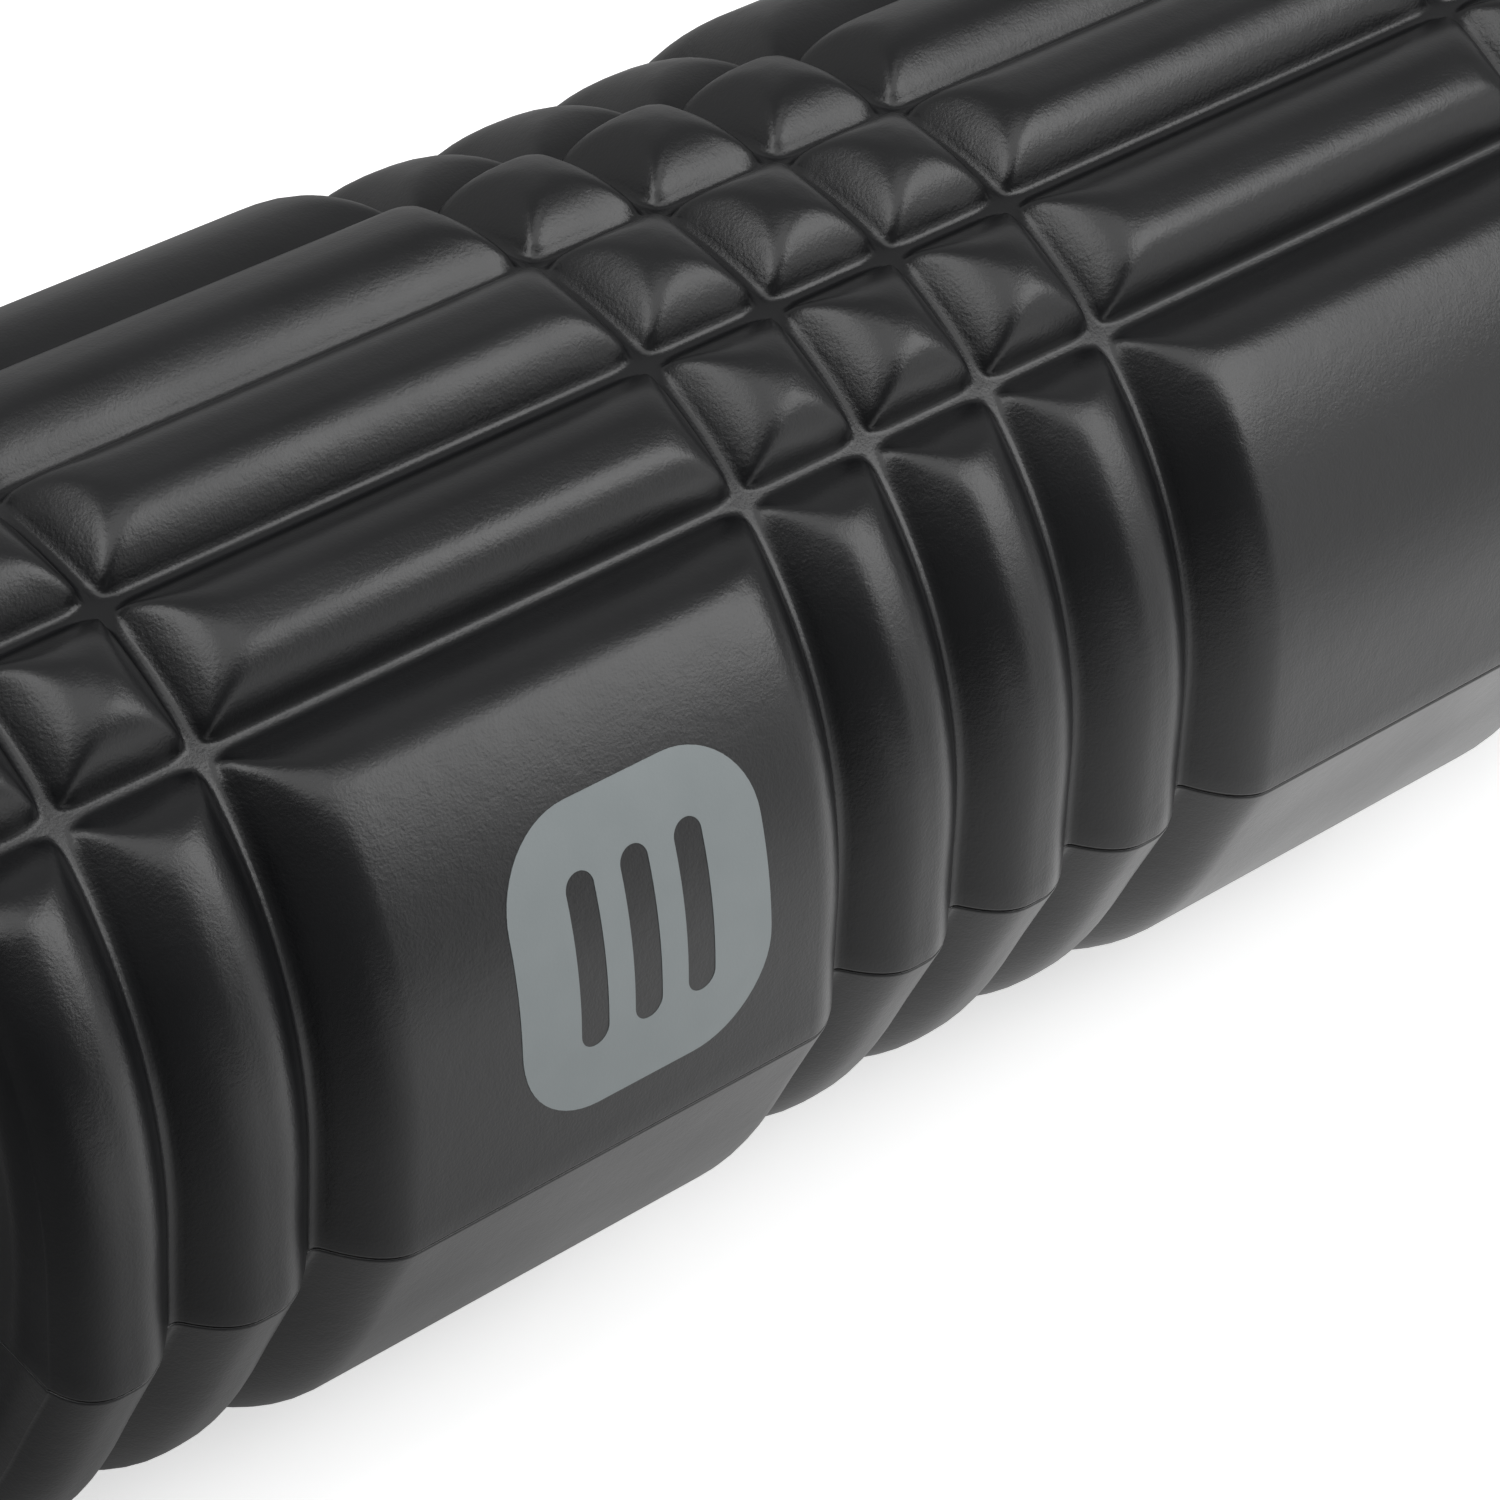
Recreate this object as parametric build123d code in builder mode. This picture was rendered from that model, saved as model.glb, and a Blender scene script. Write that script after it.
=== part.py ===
# Hollow-core massage roller: a moulded foam sheet wrapped round a rigid plastic tube.
#
# Frame: +X runs along the roller's axis, +Z is up, and the origin is the middle of the bore.
# At rest the roller stands on two neighbouring bars, one on each side of the groove that points straight down.
# Angles are measured about +X, from +Y towards +Z. All dimensions are in millimetres.

from math import cos, degrees, radians, sin
import os

from build123d import *

# Overall size
overall_length = 324.0
outer_radius = 70.2
bar_radius = 70.0            # crest of the long bars
rib_radius = 68.2            # crest of the ribs beside the broad pads
ring_groove_radius = 62.8    # floor of the grooves that run round the roller
long_groove_radius = 62.6    # floor of the grooves that run along it

# Core and adhesive
core_outer_radius = 53.0
core_wall = 3.5
core_edge_chamfer = 0.8
bond_thickness = 0.2
seam_width = 0.3

# Tread pattern
pattern_length = 330.0       # whole columns; the roller ends a little inside them
long_pitch = 88.8            # broad pads and bars, along the roller
end_blocks = 2               # short columns outside each long column
middle_blocks = 3            # short columns between the two long columns
block_angle = 20.0           # one short row
rows_in_group = 3
group_count = 2
first_groove_angle = 70.0    # lowest groove of the first group of short rows
groove_floor_width = 1.6
shoulder_width = 9.0         # from the groove up to the flat of a broad pad
end_edge_radius = 5.4        # of the sheet's rounded edge at both ends
crown_clearance = 0.2        # between the cross-section's crown and the pads' real height
seam_angle = 191.0

# Printed badge
badge_size = 42.0
badge_corner = 13.0
badge_thickness = 0.15
badge_angle = 167.0
badge_offset = 4.0           # from the middle of its pad, towards +X
badge_bar_length = 24.0
badge_bar_width = 4.6
badge_bar_spacing = 9.0

# Worked out from the dimensions above
short_pitch = (pattern_length - 2 * long_pitch) / (2 * end_blocks + middle_blocks)
core_inner_radius = core_outer_radius - core_wall
foam_inner_radius = core_outer_radius + bond_thickness
group_angle = rows_in_group * block_angle
palm_angle = 360.0 / group_count - group_angle
half_floor = groove_floor_width / 2
half_floor_angle = degrees(half_floor / long_groove_radius)
shoulder_angle = degrees(shoulder_width / long_groove_radius)
crown_radius = outer_radius + crown_clearance
slab_height = 2 * outer_radius
badge_pad_middle = -(middle_blocks * short_pitch + long_pitch) / 2

os.makedirs("parts", exist_ok=True)


def column_lengths():
    """Lengths of the pattern's columns, from -X to +X."""
    ends = [short_pitch] * end_blocks
    middle = [short_pitch] * middle_blocks
    return ends + [long_pitch] + middle + [long_pitch] + ends


def row_angles():
    """Angles of the pattern's rows in turn, starting at the first groove."""
    group = [block_angle] * rows_in_group
    return (group + [palm_angle]) * group_count


def polar(radius, angle):
    """A point of the cross-section, in the YZ plane's own coordinates."""
    return (radius * cos(radians(angle)), radius * sin(radians(angle)))


def radial_plane(angle, x=0.0, radius=0.0):
    """A plane that looks outwards along one radius, with its own X along the roller."""
    outwards = (0, cos(radians(angle)), sin(radians(angle)))
    centre = (x, radius * outwards[1], radius * outwards[2])
    return Plane(origin=centre, x_dir=(1, 0, 0), z_dir=outwards)


def axial_plane(angle):
    """The plane through the axis and one radius: its own X is along the roller, its own Y outwards."""
    return Plane(origin=(0, 0, 0), x_dir=(1, 0, 0), z_dir=(0, -sin(radians(angle)), cos(radians(angle))))


def row_outline(start, sweep):
    """One row of the cross-section, from groove to groove: a dome, or two shoulders and a crown.

    The crown stands just clear of outer_radius, because the lengthwise profile sets the pads' height.
    """
    low = start + half_floor_angle
    high = start + sweep - half_floor_angle
    middle = start + sweep / 2
    low_foot = polar(long_groove_radius, low)
    high_foot = polar(long_groove_radius, high)
    if sweep == block_angle:
        ThreePointArc(low_foot, polar(bar_radius, middle), high_foot)
        return
    crown_low = low + shoulder_angle
    crown_high = high - shoulder_angle
    low_edge = polar(crown_radius, crown_low)
    high_edge = polar(crown_radius, crown_high)
    TangentArc(low_edge, low_foot, tangent=polar(1, crown_low - 90))
    ThreePointArc(low_edge, polar(crown_radius, middle), high_edge)
    TangentArc(high_edge, high_foot, tangent=polar(1, crown_high + 90))


def section_outline():
    """The whole cross-section's outline: each row, and the flat groove floor before it."""
    start = first_groove_angle
    for sweep in row_angles():
        floor_low = polar(long_groove_radius, start - half_floor_angle)
        floor_high = polar(long_groove_radius, start + half_floor_angle)
        Line(floor_low, floor_high)
        row_outline(start, sweep)
        start += sweep


def column_outline(start, length, crest):
    """One column of the lengthwise profile, from groove to groove, rising to the given crest radius."""
    low = start + half_floor
    high = start + length - half_floor
    if length == short_pitch:
        ThreePointArc((low, ring_groove_radius), ((low + high) / 2, crest), (high, ring_groove_radius))
        return
    crown_low = low + shoulder_width
    crown_high = high - shoulder_width
    TangentArc((crown_low, outer_radius), (low, ring_groove_radius), tangent=(-1, 0))
    Line((crown_low, outer_radius), (crown_high, outer_radius))
    TangentArc((crown_high, outer_radius), (high, ring_groove_radius), tangent=(1, 0))


def end_outline(side, crest):
    """An end column of the lengthwise profile: up from its groove, level, over the rounded edge, down to the axis."""
    groove = side * (pattern_length / 2 - short_pitch)
    foot = groove + side * half_floor
    summit = groove + side * short_pitch / 2
    end = side * overall_length / 2
    edge = end - side * end_edge_radius
    Line((groove, ring_groove_radius), (foot, ring_groove_radius))
    TangentArc((summit, crest), (foot, ring_groove_radius), tangent=(-side, 0))
    Line((summit, crest), (edge, crest))
    TangentArc((edge, crest), (end, crest - end_edge_radius), tangent=(side, 0))
    Line((end, crest - end_edge_radius), (end, 0))


def profile_outline(crest):
    """The closed lengthwise profile, whose short columns rise to the given crest radius."""
    end_outline(-1, crest)
    start = short_pitch - pattern_length / 2
    for length in column_lengths()[1:-1]:
        Line((start, ring_groove_radius), (start + half_floor, ring_groove_radius))
        column_outline(start, length, crest)
        Line((start + length - half_floor, ring_groove_radius), (start + length, ring_groove_radius))
        start += length
    end_outline(1, crest)
    Line((-overall_length / 2, 0), (overall_length / 2, 0))


def profile_face(start, crest):
    """The lengthwise profile's face, standing at the given angle round the roller."""
    with BuildSketch(axial_plane(start)) as profile:
        with BuildLine():
            profile_outline(crest)
        make_face()
    return profile.sketch


def build_foam_blank():
    """The patterned sheet, wrapped and closed, before its seam is cut."""
    with BuildPart() as blank:
        for group in range(group_count):
            start = first_groove_angle + group * (group_angle + palm_angle)
            blocks = profile_face(start, outer_radius)
            revolve(blocks, axis=Axis.X, revolution_arc=group_angle)
            ribs = profile_face(start + group_angle, rib_radius)
            revolve(ribs, axis=Axis.X, revolution_arc=palm_angle)
        with BuildSketch(Plane.YZ):
            with BuildLine():
                section_outline()
            make_face()
        extrude(amount=overall_length, both=True, mode=Mode.INTERSECT)
        Cylinder(foam_inner_radius, 2 * overall_length, rotation=(0, 90, 0), mode=Mode.SUBTRACT)
    return blank.part


def seam_face():
    """The thin strip that the glued butt joint takes up, seen along its radius."""
    with BuildSketch(radial_plane(seam_angle)) as strip:
        Rectangle(2 * overall_length, seam_width)
    return strip.sketch


def build_foam_sleeve(blank):
    """The foam sheet: one solid whose two ends face each other across the seam."""
    with BuildPart() as foam_sleeve:
        add(blank)
        extrude(seam_face(), amount=slab_height, mode=Mode.SUBTRACT)
    foam_sleeve.part.label = "foam_sleeve"
    return foam_sleeve.part


def build_seam_bond(blank, sleeve):
    """The glue line between the sheet's two ends: what the sheet leaves of the closed blank."""
    with BuildPart() as seam_bond:
        add(blank)
        add(sleeve, mode=Mode.SUBTRACT)
    seam_bond.part.label = "seam_bond"
    return seam_bond.part


def build_core_tube():
    """The rigid hollow tube, with its four end edges broken."""
    with BuildPart() as core_tube:
        with BuildSketch(Plane.YZ.offset(-overall_length / 2)):
            Circle(core_outer_radius)
            Circle(core_inner_radius, mode=Mode.SUBTRACT)
        extrude(amount=overall_length)
        inner_edges = core_tube.edges().filter_by(GeomType.CIRCLE).sort_by(SortBy.RADIUS)[:2]
        chamfer(inner_edges, core_edge_chamfer)
    core_tube.part.label = "core_tube"
    return core_tube.part


def build_core_bond():
    """The adhesive film between the tube and the foam."""
    with BuildPart() as core_bond:
        with BuildSketch(Plane.YZ.offset(-overall_length / 2)):
            Circle(foam_inner_radius)
            Circle(core_outer_radius, mode=Mode.SUBTRACT)
        extrude(amount=overall_length)
    core_bond.part.label = "core_bond"
    return core_bond.part


def build_printed_badge():
    """A thin rounded ink patch on the crown of one broad pad, with three plain bars left out of it."""
    badge_x = badge_pad_middle + badge_offset
    with BuildPart() as printed_badge:
        with BuildSketch(radial_plane(badge_angle, x=badge_x)):
            RectangleRounded(badge_size, badge_size, badge_corner)
            with GridLocations(badge_bar_spacing, 0, 3, 1):
                SlotOverall(badge_bar_length, badge_bar_width, rotation=90, mode=Mode.SUBTRACT)
        extrude(amount=slab_height)
        Cylinder(
            outer_radius + badge_thickness,
            overall_length,
            rotation=(0, 90, 0),
            mode=Mode.INTERSECT,
        )
        Cylinder(outer_radius, overall_length, rotation=(0, 90, 0), mode=Mode.SUBTRACT)
    printed_badge.part.label = "printed_badge"
    return printed_badge.part


foam_blank = build_foam_blank()
foam_sheet = build_foam_sleeve(foam_blank)
pieces = [
    build_core_tube(),
    build_core_bond(),
    foam_sheet,
    build_seam_bond(foam_blank, foam_sheet),
    build_printed_badge(),
]
for piece in pieces:
    export_step(piece, f"parts/{piece.label}.step")
    print(piece.label, "solids", len(piece.solids()), "volume", round(piece.volume))
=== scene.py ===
"""Looks of a hollow-core foam roller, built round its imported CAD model.

Frame: metres, +X along the roller's axis, +Z up, origin in the middle of the bore. The moulded sheet is
a height field over the groove floors: lengthwise position x, and the angle from +Y towards +Z.
"""

from math import acos, cos, pi, radians, sin

import bmesh
import bpy
import numpy as np
from mathutils import Matrix, Vector


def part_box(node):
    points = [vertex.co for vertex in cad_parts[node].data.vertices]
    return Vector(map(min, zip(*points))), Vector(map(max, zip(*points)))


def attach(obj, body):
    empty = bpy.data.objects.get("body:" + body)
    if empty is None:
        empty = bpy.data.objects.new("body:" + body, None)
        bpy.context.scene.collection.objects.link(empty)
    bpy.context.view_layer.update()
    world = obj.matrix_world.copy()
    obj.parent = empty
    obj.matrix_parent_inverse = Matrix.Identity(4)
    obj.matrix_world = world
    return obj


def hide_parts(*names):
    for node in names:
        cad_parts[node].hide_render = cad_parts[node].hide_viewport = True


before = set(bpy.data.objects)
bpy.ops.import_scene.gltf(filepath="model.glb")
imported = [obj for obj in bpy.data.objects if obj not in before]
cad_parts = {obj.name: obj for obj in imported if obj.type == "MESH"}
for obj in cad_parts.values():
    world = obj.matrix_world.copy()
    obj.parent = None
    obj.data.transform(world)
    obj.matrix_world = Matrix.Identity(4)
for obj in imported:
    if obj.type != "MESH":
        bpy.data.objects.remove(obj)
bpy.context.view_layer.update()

MM = 0.001

# Sizes that the frame gives
foam_low, foam_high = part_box("foam_sleeve")
half_length = foam_high.x
pad_radius = foam_high.y
foam_inner_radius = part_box("core_bond")[1].y
floor_height = foam_low.z

# Tread pattern
pattern_length = 330.0 * MM  # whole columns; the roller ends a little inside them
bar_drop = 0.2 * MM          # bars and blocks stand this much lower than the broad pads
rib_drop = 2.0 * MM
groove_depth = 7.4 * MM
long_pitch = 88.8 * MM
end_blocks = 2
middle_blocks = 3
block_angle = 20.0
rows_in_group = 3
group_count = 2
first_groove_angle = 70.0
seam_angle = 191.0

# Section of a pad, measured inwards from the middle of the groove beside it
floor_half_width = 0.75 * MM
pad_run = 9.0 * MM           # from the groove's floor to the pad's full height
broad_pad_run = 10.2 * MM    # the same on a broad pad
crown_share = 0.8            # how much of a pad's height is rounded into its top
foot_fillet = 0.42 * MM
corner_radius = 4.3 * MM     # of a pad's foot at its corners, seen from above
crease_start = 0.9 * MM      # from here up, the corners change from rounded to creased
crease_full = 2.3 * MM
hip_blend = 0.5 * MM         # softens the crease where two flanks meet,
hip_softening = 4.5 * MM     # and this much more at the pad's top

end_edge_radius = 7.0 * MM   # of the sheet's rounded edge at both ends

# Butt joint of the sheet
seam_gap = 0.28 * MM
seam_recess = 0.45 * MM      # of the glue below the sheet's surface
seam_lip = 0.35 * MM         # width of the rounded lip on each side
lip_fall = 0.3 * MM          # of the lip's edge
lip_bend = 0.25              # share of the lip's width where it starts to fall steeply,
lip_bend_fall = 0.08 * MM    # and its fall there
ridge_height = 1.8 * MM      # the sheet's ends stay straight, so the joint stands proud like a low roof
belly_height = 0.9 * MM      # and the pad below the joint bulges a little
belly_start = 9.0            # degrees past the seam
belly_end = 56.0

# Printed badge
badge_size = 42.0 * MM
badge_corner = 13.0 * MM
badge_angle = 167.0
badge_x = -73.06 * MM
badge_bar_width = 4.6 * MM
badge_bar_length = 24.0 * MM
badge_bar_spacing = 9.0 * MM
badge_bar_corner = badge_bar_width / 2.02
badge_rise = 0.06 * MM       # and its underside is as far below the pad's surface
badge_cut = 1.5 * MM         # width of the strips it is cut into, so that it bends

# Mesh density
steps_per_flank = 15
flank_spacing_power = 1.5
crown_step = 3.3 * MM
edge_steps = 10
corner_steps = 14
weld_distance = 0.001 * MM

groove_radius = pad_radius - groove_depth
short_pitch = (pattern_length - 2 * long_pitch) / (2 * end_blocks + middle_blocks)
group_angle = rows_in_group * block_angle
palm_angle = 360.0 / group_count - group_angle


# ---------------------------------------------------------------- height field

def column_lengths():
    """Lengths of the pattern's columns, from -X to +X."""
    ends = [short_pitch] * end_blocks
    return ends + [long_pitch] + [short_pitch] * middle_blocks + [long_pitch] + ends


def row_lengths():
    """Lengths of the pattern's rows round the groove floor, from the first groove on."""
    group = [block_angle] * rows_in_group
    return [radians(angle) * groove_radius for angle in (group + [palm_angle]) * group_count]


def smooth_min(a, b, blend):
    """The smaller of a and b, with a rounded change-over."""
    share = np.clip(0.5 + 0.5 * (b - a) / blend, 0, 1)
    return b * (1 - share) + a * share - blend * share * (1 - share)


def smooth_max(a, b, blend):
    """The larger of a and b, with a rounded change-over."""
    return -smooth_min(-a, -b, blend)


def cell_samples(length):
    """Sample positions across one cell: dense beside its grooves, even on a long crown."""
    half_block = short_pitch / 2
    crown_length = length - short_pitch
    crown_count = max(1, round(crown_length / crown_step))
    if crown_length < MM:
        half_block = length / 2
        crown_count = 0
    flank = [half_block * (i / steps_per_flank) ** flank_spacing_power for i in range(steps_per_flank)]
    crown = [half_block + crown_length * i / crown_count for i in range(crown_count)]
    far_flank = [length - step for step in reversed(flank[1:])]
    return flank + crown + [length - half_block] + far_flank


def line_samples(lengths, start):
    """Positions, distance to the nearest groove and cell length along a whole line of cells."""
    places = []
    edge_distances = []
    cell_lengths = []
    for length in lengths:
        for step in cell_samples(length):
            places.append(start + step)
            edge_distances.append(min(step, length - step))
            cell_lengths.append(length)
        start += length
    return np.array(places), np.array(edge_distances), np.array(cell_lengths)


def pad_rise(distance, height, run):
    """Height of a pad's surface at a distance from the middle of its groove."""
    slope = (1 + crown_share) * height / run
    flank = slope * smooth_max(distance - floor_half_width, 0, foot_fillet)
    return smooth_min(flank, height, crown_share * height)


def pad_distance(along, around):
    """Distance inwards from a pad's outline, whose corners are rounded at the foot and crease higher up."""
    nearest = np.minimum(along, around)
    inside = smooth_min(along, around, hip_blend + hip_softening * (nearest / pad_run) ** 2)
    gap = np.hypot(np.maximum(corner_radius - along, 0), np.maximum(corner_radius - around, 0))
    rounded = np.minimum(corner_radius - gap, inside)
    share = np.clip((nearest - crease_start) / (crease_full - crease_start), 0, 1)
    share = share * share * (3 - 2 * share)
    in_corner = (along < corner_radius) & (around < corner_radius)
    return np.where(in_corner, rounded + share * (inside - rounded), inside)


def surface_radius(along, column_length, around, row_length):
    """Radius of the sheet's outer surface, from distances to the grooves in both directions."""
    long_column = column_length > 2 * short_pitch
    long_row = row_length > 2 * short_pitch
    height = np.where(long_row, groove_depth - rib_drop, groove_depth - bar_drop)
    height = np.where(long_column, groove_depth - bar_drop, height)
    height = np.where(long_column & long_row, groove_depth, height)
    run = np.where(long_column & long_row, broad_pad_run, pad_run)
    return groove_radius + pad_rise(pad_distance(along, around), height, run)


def seam_swell(turned):
    """How far the sheet stands out round its joint; turned is the angle past the seam, towards the floor."""
    ridge_reach = acos(pad_radius / (pad_radius + ridge_height))
    away = np.minimum(turned, 2 * pi - turned)
    straight = pad_radius / np.cos(np.maximum(ridge_reach - away, 0)) - pad_radius
    share = (np.degrees(turned) - belly_start) / (belly_end - belly_start)
    belly = belly_height * np.sin(pi * np.clip(share, 0, 1)) ** 2
    return straight + belly


# ---------------------------------------------------------------- meshes

def new_piece(name, points, faces, smooth=True):
    """A mesh object made of the given points and faces."""
    mesh = bpy.data.meshes.new(name)
    mesh.from_pydata([tuple(p) for p in points], [], [tuple(f) for f in faces])
    mesh.validate()
    mesh.polygons.foreach_set("use_smooth", [smooth] * len(mesh.polygons))
    piece = bpy.data.objects.new(name, mesh)
    bpy.context.scene.collection.objects.link(piece)
    return piece


def grid_faces(rows, columns, first=0, flip=False):
    """Quads of a rows by columns grid of points, numbered row by row from first."""
    faces = []
    for i in range(rows - 1):
        for j in range(columns - 1):
            a = first + i * columns + j
            quad = (a, a + 1, a + columns + 1, a + columns)
            faces.append(quad[::-1] if flip else quad)
    return faces


def ring_points(x, radius, angle):
    """Points at lengthwise positions, radii and angles (radians) given as arrays of one shape."""
    return np.stack([x, radius * np.cos(angle), radius * np.sin(angle)], axis=-1).reshape(-1, 3)


def lengthwise_samples():
    """Positions, distance to the nearest groove and column length along the sheet, from end to end.

    The outermost columns rise from their inner groove only and keep their height up to the sheet's ends.
    """
    xs, along, columns = line_samples(column_lengths(), -pattern_length / 2)
    last_groove = pattern_length / 2 - short_pitch
    inside = np.abs(xs) < half_length - end_edge_radius
    turn = radians(90.0) * np.arange(edge_steps + 1) / edge_steps
    edge = half_length - end_edge_radius + end_edge_radius * np.sin(turn)
    xs = np.concatenate([-edge[::-1], xs[inside], edge])
    ends = np.full(len(edge), short_pitch)
    columns = np.concatenate([ends, columns[inside], ends])
    along = np.concatenate([ends, along[inside], ends])
    return xs, np.where(np.abs(xs) > last_groove, np.abs(xs) - last_groove, along), columns


def end_drop(xs):
    """How far the rounded edge at the sheet's ends has fallen at each lengthwise position."""
    reach = np.clip(np.abs(xs) - half_length + end_edge_radius, 0, end_edge_radius)
    return end_edge_radius - np.sqrt(end_edge_radius ** 2 - reach ** 2)


def wrapped_samples():
    """Angle past the seam, distance to the nearest groove and row length, once round the sheet.

    The first three and the last three samples make the seam's lips.
    """
    arcs, around, rows = line_samples(row_lengths(), 0.0)
    turned = np.mod(radians(first_groove_angle) + arcs / groove_radius - radians(seam_angle), 2 * pi)
    half_gap = seam_gap / 2 / pad_radius
    lip = seam_lip / pad_radius
    clear = 2 * half_gap + lip
    order = np.argsort(turned)
    order = order[(turned[order] > clear) & (turned[order] < 2 * pi - clear)]
    lips = [half_gap, half_gap + lip_bend * lip, half_gap + lip]
    turned = np.concatenate([lips, turned[order], [2 * pi - step for step in reversed(lips)]])
    around_seam = np.full(len(lips), around[order[0]])
    seam_row = np.full(len(lips), rows[order[0]])
    around = np.concatenate([around_seam, around[order], around_seam])
    rows = np.concatenate([seam_row, rows[order], seam_row])
    return turned, around, rows


def lip_drop(count):
    """How far the sheet's surface falls at each of the samples round it: only the seam's lips do."""
    drop = np.zeros(count)
    drop[[0, -1]] = lip_fall
    drop[[1, -2]] = lip_bend_fall
    return drop


def build_sheet():
    """The moulded sheet wrapped round the core: outer skin, end faces, inner face and the seam's two sides.

    Gives the piece, the lengthwise positions and the radius of the seam's lip at each of them.
    """
    xs, along, columns = lengthwise_samples()
    turned, around, rows = wrapped_samples()
    radius = surface_radius(along[:, None], columns[:, None], around[None, :], rows[None, :])
    radius = np.maximum(radius - end_drop(xs)[:, None], groove_radius)
    radius = radius - lip_drop(len(turned))[None, :] + seam_swell(turned)[None, :]

    grid_x, grid_angle = np.meshgrid(xs, radians(seam_angle) + turned, indexing="ij")
    outer = ring_points(grid_x, radius, grid_angle)
    rims = [0, -1]
    inner_radius = np.full((len(rims), len(turned)), foam_inner_radius)
    inner = ring_points(grid_x[rims], inner_radius, grid_angle[rims])
    skin = grid_faces(*grid_x.shape) + end_faces(*grid_x.shape)
    cuts = cut_faces(*grid_x.shape)
    piece = new_piece("foam_sheet", np.concatenate([outer, inner]), skin + cuts)
    shows_cut = [False] * len(skin) + [True] * len(cuts)
    piece.data.polygons.foreach_set("material_index", shows_cut)
    piece.data.polygons.foreach_set("use_smooth", [not cut for cut in shows_cut])
    return piece, xs, radius[:, 0]


def end_faces(nx, na):
    """The sheet's two end faces, between the outer skin's rims and the inner face's."""
    near_inner = nx * na
    far_inner = near_inner + na
    far_outer = near_inner - na
    faces = []
    for j in range(na - 1):
        faces.append((near_inner + j, near_inner + j + 1, j + 1, j))
        faces.append((far_outer + j, far_outer + j + 1, far_inner + j + 1, far_inner + j))
    return faces


def cut_faces(nx, na):
    """The sheet's faces that were cut or lie on the core: the inner face and the seam's two sides."""
    inner_start = nx * na
    faces = grid_faces(2, na, inner_start, flip=True)
    far_inner = inner_start + na
    for column in (0, na - 1):
        rim = [i * na + column for i in range(nx)] + [far_inner + column, inner_start + column]
        faces.append(rim[::-1] if column else rim)
    return faces


def build_seam_line(xs, lip_radius):
    """The glue in the butt joint: a thin strip that follows the sheet's surface a little below it."""
    half_gap = seam_gap / 2 / pad_radius
    reach = half_length - seam_recess
    places = np.concatenate([[-reach], xs[np.abs(xs) < reach], [reach]])
    tops = np.interp(places, xs, lip_radius) + lip_fall - seam_recess
    bottoms = np.full(len(places), foam_inner_radius)
    radius = np.stack([tops, tops, bottoms, bottoms], axis=-1)
    angle = radians(seam_angle) + np.array([-half_gap, half_gap, half_gap, -half_gap])
    grid_x, grid_angle = np.meshgrid(places, angle, indexing="ij")
    sides = radius.shape[1]
    last = sides * (len(places) - 1)
    faces = [(3, 2, 1, 0), (last, last + 1, last + 2, last + 3)]
    for first in range(0, last, sides):
        for j in range(sides):
            a, b = first + j, first + (j + 1) % sides
            faces.append((a, b, b + sides, a + sides))
    return new_piece("seam_glue", ring_points(grid_x, radius, grid_angle), faces, smooth=False)


def add_outline(curve, corners):
    """A closed polygon of (x, y) corners as one spline of a filled curve."""
    spline = curve.splines.new("POLY")
    spline.points.add(len(corners) - 1)
    for point, (x, y) in zip(spline.points, corners):
        point.co = (x, y, 0, 1)
    spline.use_cyclic_u = True


def rounded_box(width, height, corner, middle=(0, 0)):
    """Corners of a rectangle whose corners are arcs, counter-clockwise."""
    outline = []
    for turn, (sx, sy) in enumerate(((1, 1), (-1, 1), (-1, -1), (1, -1))):
        cx = middle[0] + sx * (width / 2 - corner)
        cy = middle[1] + sy * (height / 2 - corner)
        for i in range(corner_steps + 1):
            angle = pi / 2 * (turn + i / corner_steps)
            outline.append((cx + corner * cos(angle), cy + corner * sin(angle)))
    return outline


def flat_badge():
    """The badge's shape as one flat layer: a rounded square with three bars left out."""
    curve = bpy.data.curves.new("badge_outline", "CURVE")
    curve.dimensions = "2D"
    curve.fill_mode = "FRONT"
    add_outline(curve, rounded_box(badge_size, badge_size, badge_corner))
    for i in (-1, 0, 1):
        middle = (i * badge_bar_spacing, 0)
        add_outline(curve, rounded_box(badge_bar_width, badge_bar_length, badge_bar_corner, middle))
    holder = bpy.data.objects.new("badge_outline", curve)
    bpy.context.scene.collection.objects.link(holder)
    shape = bmesh.new()
    shape.from_mesh(bpy.data.meshes.new_from_object(holder))
    bpy.data.objects.remove(holder)
    bmesh.ops.remove_doubles(shape, verts=shape.verts, dist=weld_distance)
    return shape


def cut_into_strips(shape):
    """Cuts the flat badge along X into narrow strips."""
    half_count = int(badge_size / 2 / badge_cut)
    for i in range(-half_count, half_count + 1):
        everything = shape.verts[:] + shape.edges[:] + shape.faces[:]
        place = (0, i * badge_cut, 0)
        bmesh.ops.bisect_plane(shape, geom=everything, plane_co=place, plane_no=(0, 1, 0),
                               dist=weld_distance)


def thicken(shape):
    """Turns the flat badge into a layer; gives the points of its underside."""
    made = bmesh.ops.extrude_face_region(shape, geom=shape.faces[:])["geom"]
    return {item for item in made if isinstance(item, bmesh.types.BMVert)}


def wrap(shape, under):
    """Bends the flat layer round its pad, with the given points below the pad's surface."""
    for vert in shape.verts:
        angle = radians(badge_angle) - vert.co.y / pad_radius
        turned = (angle - radians(seam_angle)) % (2 * pi)
        rise = -badge_rise if vert in under else badge_rise
        radius = pad_radius + float(seam_swell(turned)) + rise
        vert.co = (badge_x + vert.co.x, radius * cos(angle), radius * sin(angle))
    bmesh.ops.recalc_face_normals(shape, faces=shape.faces)


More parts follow.
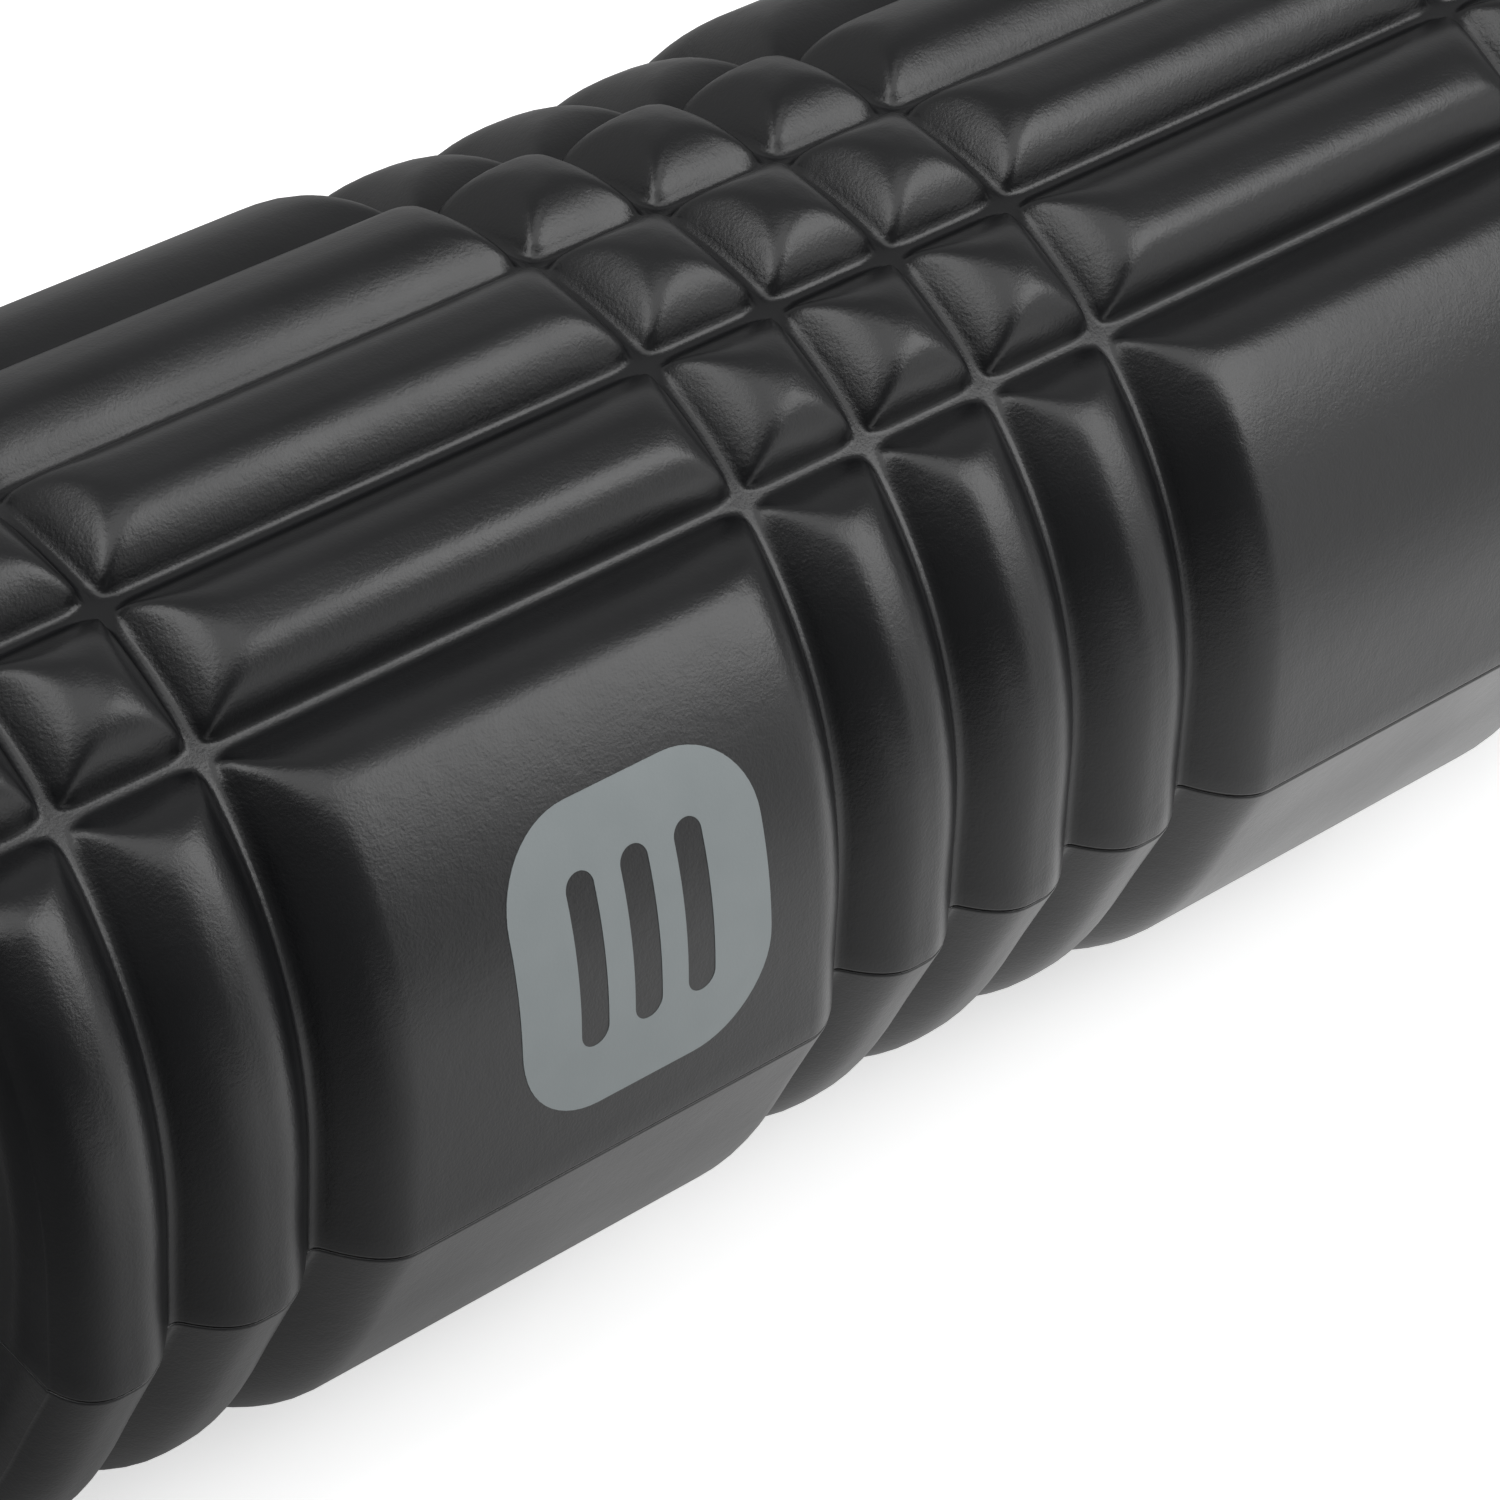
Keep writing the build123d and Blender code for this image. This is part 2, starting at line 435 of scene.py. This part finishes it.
def build_badge():
    """The printed patch: a rounded square with three bars left out, a thin layer wrapped round its pad."""
    shape = flat_badge()
    cut_into_strips(shape)
    wrap(shape, thicken(shape))
    mesh = bpy.data.meshes.new("badge_print")
    shape.to_mesh(mesh)
    shape.free()
    badge = bpy.data.objects.new("badge_print", mesh)
    bpy.context.scene.collection.objects.link(badge)
    return badge


# ---------------------------------------------------------------- materials

def new_material(name):
    """A node material, its nodes and its links."""
    material = bpy.data.materials.new(name)
    material.use_nodes = True
    return material, material.node_tree.nodes, material.node_tree.links


def add_texture(nodes, links, kind, scale, detail=2.0, stretch=(1, 1, 1)):
    """A procedural texture laid on the object's own coordinates; scale is in features per metre."""
    place = nodes.new("ShaderNodeTexCoord")
    turn = nodes.new("ShaderNodeMapping")
    turn.inputs["Scale"].default_value = stretch
    links.new(place.outputs["Object"], turn.inputs["Vector"])
    texture = nodes.new(kind)
    texture.inputs["Scale"].default_value = scale
    texture.inputs["Detail"].default_value = detail
    links.new(turn.outputs["Vector"], texture.inputs["Vector"])
    return texture


def add_range(nodes, links, source, low, high, low_in=0.3, high_in=0.7):
    """Rescales a texture's value from low_in..high_in to low..high."""
    node = nodes.new("ShaderNodeMapRange")
    node.inputs["From Min"].default_value = low_in
    node.inputs["From Max"].default_value = high_in
    node.inputs["To Min"].default_value = low
    node.inputs["To Max"].default_value = high
    links.new(source, node.inputs["Value"])
    return node.outputs["Result"]


def add_tint(nodes, links, source, dark, pale, low_in=0.3, high_in=0.7):
    """A colour between dark and pale, chosen by a texture's value."""
    ramp = nodes.new("ShaderNodeValToRGB")
    ramp.color_ramp.elements[0].position = low_in
    ramp.color_ramp.elements[1].position = high_in
    ramp.color_ramp.elements[0].color = (*dark, 1)
    ramp.color_ramp.elements[1].color = (*pale, 1)
    links.new(source, ramp.inputs["Fac"])
    return ramp.outputs["Color"]


def add_bump(nodes, links, height, distance, strength=1.0, below=None):
    """A bump of the given depth in metres, on top of another bump's normal if there is one."""
    bump = nodes.new("ShaderNodeBump")
    bump.inputs["Strength"].default_value = strength
    bump.inputs["Distance"].default_value = distance
    links.new(height, bump.inputs["Height"])
    if below is not None:
        links.new(below, bump.inputs["Normal"])
    return bump.outputs["Normal"]


def foam_material():
    """Moulded EVA skin: satin black, with the mould's fine grain and cloudy handling marks."""
    material, nodes, links = new_material("moulded_foam")
    shader = nodes["Principled BSDF"]
    clouds = add_texture(nodes, links, "ShaderNodeTexNoise", 45, 4)
    grain = add_texture(nodes, links, "ShaderNodeTexNoise", 2300, 2)
    waves = add_texture(nodes, links, "ShaderNodeTexNoise", 420, 1)
    tint = add_tint(nodes, links, clouds.outputs["Fac"], (0.0028, 0.0030, 0.0037), (0.0046, 0.0049, 0.0058))
    links.new(tint, shader.inputs["Base Color"])
    rough = add_range(nodes, links, clouds.outputs["Fac"], 0.30, 0.36)
    links.new(rough, shader.inputs["Roughness"])
    low_bump = add_bump(nodes, links, waves.outputs["Fac"], 0.04 * MM)
    normal = add_bump(nodes, links, grain.outputs["Fac"], 0.036 * MM, below=low_bump)
    links.new(normal, shader.inputs["Normal"])
    return material


def cut_foam_material():
    """Foam where the sheet was cut: matt, a little paler, with open cells."""
    material, nodes, links = new_material("cut_foam")
    shader = nodes["Principled BSDF"]
    clouds = add_texture(nodes, links, "ShaderNodeTexNoise", 160, 3)
    cells = nodes.new("ShaderNodeTexVoronoi")
    place = nodes.new("ShaderNodeTexCoord")
    cells.inputs["Scale"].default_value = 1500
    links.new(place.outputs["Object"], cells.inputs["Vector"])
    tint = add_tint(nodes, links, clouds.outputs["Fac"], (0.026, 0.026, 0.027), (0.042, 0.042, 0.043))
    links.new(tint, shader.inputs["Base Color"])
    shader.inputs["Roughness"].default_value = 0.75
    normal = add_bump(nodes, links, cells.outputs["Distance"], 0.12 * MM)
    links.new(normal, shader.inputs["Normal"])
    return material


def core_material():
    """Extruded black tube: satin, with faint lines drawn along it and a few rubbed patches."""
    material, nodes, links = new_material("core_plastic")
    shader = nodes["Principled BSDF"]
    lines = add_texture(nodes, links, "ShaderNodeTexNoise", 900, 3, stretch=(0.02, 1, 1))
    rubbed = add_texture(nodes, links, "ShaderNodeTexNoise", 38, 5)
    tint = add_tint(nodes, links, rubbed.outputs["Fac"], (0.007, 0.007, 0.008), (0.012, 0.012, 0.013))
    links.new(tint, shader.inputs["Base Color"])
    rough = add_range(nodes, links, rubbed.outputs["Fac"], 0.22, 0.34)
    links.new(rough, shader.inputs["Roughness"])
    normal = add_bump(nodes, links, lines.outputs["Fac"], 0.04 * MM)
    links.new(normal, shader.inputs["Normal"])
    return material


def glue_material(name):
    """Set contact adhesive: dark amber-black, unevenly shiny, with small ripples."""
    material, nodes, links = new_material(name)
    shader = nodes["Principled BSDF"]
    ripples = add_texture(nodes, links, "ShaderNodeTexNoise", 700, 3)
    clouds = add_texture(nodes, links, "ShaderNodeTexNoise", 130, 3)
    tint = add_tint(nodes, links, clouds.outputs["Fac"], (0.008, 0.007, 0.006), (0.016, 0.013, 0.010))
    links.new(tint, shader.inputs["Base Color"])
    rough = add_range(nodes, links, clouds.outputs["Fac"], 0.45, 0.7)
    links.new(rough, shader.inputs["Roughness"])
    normal = add_bump(nodes, links, ripples.outputs["Fac"], 0.08 * MM)
    links.new(normal, shader.inputs["Normal"])
    return material


def ink_material():
    """Flat grey print, a little uneven where the foam's grain shows through."""
    material, nodes, links = new_material("badge_print")
    shader = nodes["Principled BSDF"]
    clouds = add_texture(nodes, links, "ShaderNodeTexNoise", 120, 4)
    grain = add_texture(nodes, links, "ShaderNodeTexNoise", 2600, 2)
    tint = add_tint(nodes, links, clouds.outputs["Fac"], (0.20, 0.225, 0.23), (0.215, 0.24, 0.245))
    links.new(tint, shader.inputs["Base Color"])
    shader.inputs["Roughness"].default_value = 0.5
    normal = add_bump(nodes, links, grain.outputs["Fac"], 0.012 * MM)
    links.new(normal, shader.inputs["Normal"])
    return material


def dress(piece, *materials):
    """Gives a piece its materials; a face keeps the number of its own."""
    numbers = [face.material_index for face in piece.data.polygons]
    piece.data.materials.clear()
    for material in materials:
        piece.data.materials.append(material)
    piece.data.polygons.foreach_set("material_index", numbers)


# ---------------------------------------------------------------- stage

camera_place = Vector((-526.1, -507.2, 487.2)) * MM
camera_target = Vector((-1.7, -16.4, -17.1)) * MM
camera_roll = 4.94
camera_lens = 154.55
camera_sensor = 36.0
camera_reach = 20.0          # metres
floor_size = 8.0
paper_gap = 0.2 * MM

# Levels of the light from the floor and the room; the curves' stops are (share, level) over one metre
glow_across = ((0, 0), (0.2, 0), (0.3, 0.04), (0.36, 0.09), (0.44, 0.21), (0.52, 0.33), (0.62, 0.5),
               (0.72, 0.55), (0.85, 0.42), (1, 0.28))
# The depth curve falls to nothing straight under the roller: painted shade standing in for the roller's
# contact shadow on the floor
glow_in_depth = ((0, 0.8), (0.3, 0.95), (0.43, 1), (0.5, 0), (0.57, 0.45), (0.7, 0.35), (1, 0.2))
glow_strength = 2.4
world_dim = 0.12
world_bright = 0.55


def aim(item, place, target, roll=0.0):
    """Puts a camera or lamp at a place and turns it to the target."""
    turn = (target - place).to_track_quat("-Z", "Y").to_matrix() @ Matrix.Rotation(radians(roll), 3, "Z")
    item.matrix_world = Matrix.Translation(place) @ turn.to_4x4()


def build_camera():
    """The photograph's camera."""
    data = bpy.data.cameras.new("camera")
    data.lens = camera_lens
    data.sensor_width = camera_sensor
    data.clip_end = camera_reach
    camera = bpy.data.objects.new("camera", data)
    bpy.context.scene.collection.objects.link(camera)
    aim(camera, camera_place, camera_target, camera_roll)
    bpy.context.scene.camera = camera


def build_softbox(name, azimuth, elevation, distance, size, radiance):
    """A rectangular softbox that faces the roller; radiance is the brightness of its surface."""
    flat = cos(radians(elevation))
    away = Vector((flat * cos(radians(azimuth)), flat * sin(radians(azimuth)), sin(radians(elevation))))
    data = bpy.data.lights.new(name, "AREA")
    data.shape = "RECTANGLE"
    data.size, data.size_y = size
    data.energy = radiance * pi * size[0] * size[1]
    lamp = bpy.data.objects.new(name, data)
    bpy.context.scene.collection.objects.link(lamp)
    lamp.visible_camera = False
    aim(lamp, away * distance, Vector((0, 0, 0)))


def new_paper(name, grey):
    """A matt paper of the given grey that can also glow; gives the material, nodes, links and shader."""
    material, nodes, links = new_material(name)
    shader = nodes["Principled BSDF"]
    shader.inputs["Base Color"].default_value = (grey, grey, grey, 1)
    shader.inputs["Roughness"].default_value = 0.9
    shader.inputs["Specular IOR Level"].default_value = 0.1
    shader.inputs["Emission Color"].default_value = (1, 1, 1, 1)
    return material, nodes, links, shader


def paper_material():
    """White paper, lit evenly enough to stay pale beside the roller."""
    material, _, _, shader = new_paper("floor_paper", 0.88)
    shader.inputs["Emission Strength"].default_value = 0.6
    return material


def add_direction(nodes, links, place, direction):
    """How far a place lies along a direction."""
    along = nodes.new("ShaderNodeVectorMath")
    along.operation = "DOT_PRODUCT"
    along.inputs[1].default_value = direction
    links.new(place, along.inputs[0])
    return along.outputs["Value"]


def add_curve(nodes, links, source, stops):
    """A level that follows a curve through (share, level) stops, over a metre centred on the roller."""
    curve = nodes.new("ShaderNodeFloatCurve")
    line = curve.mapping.curves[0]
    for share, level in stops[1:-1]:
        line.points.new(share, level)
    line.points[0].location = stops[0]
    line.points[-1].location = stops[-1]
    curve.mapping.update()
    links.new(add_range(nodes, links, source, 0, 1, -0.5, 0.5), curve.inputs["Value"])
    return curve.outputs["Value"]


def reflector_material():
    """The light that the floor throws up: a bright pool at the right, fading towards the left, and falling
    to nothing straight under the roller as painted shade for its contact shadow.
    """
    material, nodes, links, shader = new_paper("floor_bounce", 0.15)
    place = nodes.new("ShaderNodeTexCoord")
    across = add_direction(nodes, links, place.outputs["Object"], (0.94, -0.34, 0))
    depth = add_direction(nodes, links, place.outputs["Object"], (0, 1, 0))
    product = nodes.new("ShaderNodeMath")
    product.operation = "MULTIPLY"
    links.new(add_curve(nodes, links, across, glow_across), product.inputs[0])
    links.new(add_curve(nodes, links, depth, glow_in_depth), product.inputs[1])
    brightness = add_range(nodes, links, product.outputs["Value"], 0, glow_strength, 0, 1)
    links.new(brightness, shader.inputs["Emission Strength"])
    return material


def build_world():
    """Dim surroundings: dark on the camera's side of the room, pale behind the roller."""
    world = bpy.data.worlds.new("studio")
    bpy.context.scene.world = world
    world.use_nodes = True
    nodes, links = world.node_tree.nodes, world.node_tree.links
    place = nodes.new("ShaderNodeTexCoord")
    across = add_direction(nodes, links, place.outputs["Generated"], (0.25, 0.97, 0))
    level = add_range(nodes, links, across, world_dim, world_bright, -0.35, 0.6)
    nodes["Background"].inputs["Color"].default_value = (1, 1, 1, 1)
    links.new(level, nodes["Background"].inputs["Strength"])


def build_sheet_of_paper(name, height, material):
    """A wide flat square on the floor."""
    half = floor_size / 2
    points = [(x, y, height) for x, y in ((-half, -half), (half, -half), (half, half), (-half, half))]
    paper = new_piece(name, points, [(0, 1, 2, 3)], smooth=False)
    dress(paper, material)
    return paper


def build_stage():
    """Two papers, one that is seen and one that lights the roller from below; the room; and the lamps."""
    floor = build_sheet_of_paper("floor", floor_height, paper_material())
    floor.visible_glossy = False
    floor.visible_diffuse = False
    floor.visible_shadow = False
    bounce = build_sheet_of_paper("floor_bounce", floor_height - paper_gap, reflector_material())
    bounce.visible_camera = False
    build_world()
    build_softbox("overhead_softbox", 256, 63, 1.35, (1.5, 1.0), 1.85)
    build_softbox("left_softbox", 178, 46, 1.3, (0.85, 0.6), 3.7)
    build_softbox("right_softbox", 311, 33, 1.1, (0.54, 0.58), 4.3)
    build_softbox("low_right_softbox", 312, 7, 1.1, (0.6, 0.42), 0.9)


sheet, lengthwise_places, seam_radius = build_sheet()
seam_line = build_seam_line(lengthwise_places, seam_radius)
dress(sheet, foam_material(), cut_foam_material())
badge = build_badge()
dress(badge, ink_material())
dress(seam_line, glue_material("seam_glue"))
dress(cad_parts["core_tube"], core_material())
dress(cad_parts["core_bond"], glue_material("core_glue"))
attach(sheet, "root")
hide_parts("foam_sleeve")
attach(seam_line, "root")
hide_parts("seam_bond")
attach(badge, "root")
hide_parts("printed_badge")
build_camera()
build_stage()
bpy.context.scene.view_settings.view_transform = "Standard"
